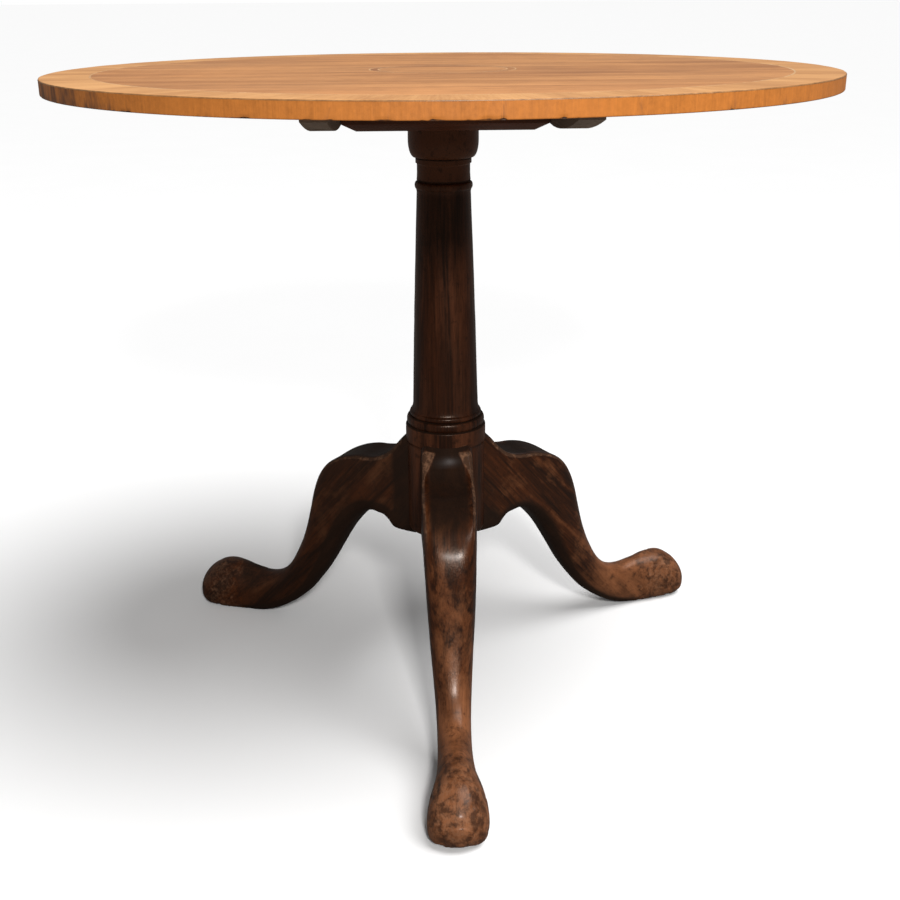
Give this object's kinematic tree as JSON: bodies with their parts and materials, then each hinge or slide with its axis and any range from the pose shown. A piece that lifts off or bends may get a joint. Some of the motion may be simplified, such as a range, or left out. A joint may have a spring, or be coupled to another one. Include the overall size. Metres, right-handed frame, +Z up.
{
  "type": "tilt top table",
  "caption": "Tripod table with a round veneered top that tilts upright on a block at the head of a turned column, with cabriole legs and a spring catch.",
  "frame": {"origin": "on the floor, on the column's axis, under the middle of the top", "axes": "+Z up the column; the front leg and the catch point towards -Y, and the top's pivot lies along X behind the column"},
  "size_m": [0.8199, 0.82, 0.7126],
  "materials": {
    "top_veneer": "waxed and polished, honey coloured, straight grain",
    "border_veneer": "waxed crossbanding",
    "stringing": "pale boxwood line, polished",
    "band_veneer": "darker crossgrained veneer, polished",
    "edge_veneer": "crossgrained edge veneer with dark patches, polished",
    "core_wood": "bare planed pine, aged",
    "bearer_wood": "dry, unpolished and grey-brown",
    "dark_wood": "dark stained and waxed, low gloss",
    "leg_wood": "waxed, worn and mottled, red-brown",
    "wedge_wood": "bare end grain",
    "brass": "dull aged brass",
    "iron": "dark oxidised wrought iron",
    "screw_steel": "dulled steel"
  },
  "bodies": {
    "pedestal": {"block": "dark_wood", "strike_plate": "brass", "strike_screws": "screw_steel", "column": "dark_wood", "tenon_wedges": "wedge_wood", "leg_front": "leg_wood", "leg_right": "leg_wood", "leg_left": "leg_wood", "brace_plate": "iron", "brace_screws": "screw_steel"},
    "top": {"board_1": "core_wood", "board_2": "core_wood", "board_3": "core_wood", "board_4": "core_wood", "field_veneer": "top_veneer", "border_veneer": "border_veneer", "border_stringing": "stringing", "medallion_stringing": "stringing", "medallion_band": "band_veneer", "medallion_disc": "top_veneer", "edge_banding": "edge_veneer", "bearer_left": "bearer_wood", "bearer_right": "bearer_wood", "bearer_screws": "screw_steel", "catch_plate": "brass", "catch_case": "brass", "catch_screws": "screw_steel", "catch_spring": "screw_steel"},
    "catch_slide": {"catch_bolt": "brass", "catch_knob": "brass"}
  },
  "joints": [
    {"name": "top_tilt", "type": "hinge", "parent": "pedestal", "child": "top", "pos_m": [0, 0.0857, 0.679], "axis": [-1, 0, 0], "range_deg": [0, 90]},
    {"name": "catch_draw", "type": "slide", "parent": "top", "child": "catch_slide", "axis": [0, -1, 0], "range_m": [0, 0.007], "stiffness_N_per_m": 400, "springref_m": -0.005, "deforming": ["catch_spring"]}
  ]
}
